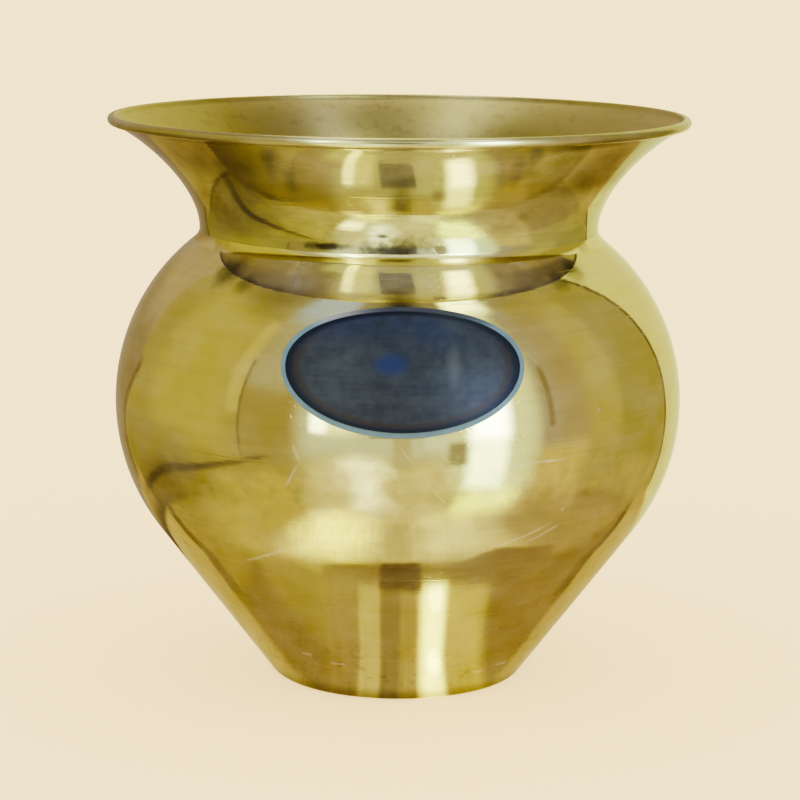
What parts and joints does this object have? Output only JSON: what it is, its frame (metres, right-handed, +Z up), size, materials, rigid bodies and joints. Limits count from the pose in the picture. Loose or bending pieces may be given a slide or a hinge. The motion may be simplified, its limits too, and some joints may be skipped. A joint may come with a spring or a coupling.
{
  "type": "lota",
  "caption": "Round-bellied brass water vessel with a brazed-on flared mouth, a tapered foot and a blank oval label; it stands on a flat ring and pours over its lip.",
  "frame": {"origin": "on the table, at the middle of the base", "axes": "+Z up along the vessel's turning axis, from the base to the mouth; the label faces -Y; +X is to the right of someone who looks at the label"},
  "size_m": [0.1072, 0.1072, 0.105],
  "materials": {
    "polished_brass": "machine-polished, fine turning lines, light tarnish",
    "brazing_metal": "paler filler metal, dull in the corner",
    "label_margin_blue": "satin light-blue film",
    "label_face_blue": "glossy dark slate-blue film, blank"
  },
  "bodies": {
    "root": {"mouth_neck": "polished_brass", "neck_braze": "brazing_metal", "upper_body": "polished_brass", "belly_braze": "brazing_metal", "lower_body": "polished_brass", "label_backing": "label_margin_blue", "label_face": "label_face_blue"}
  },
  "joints": []
}
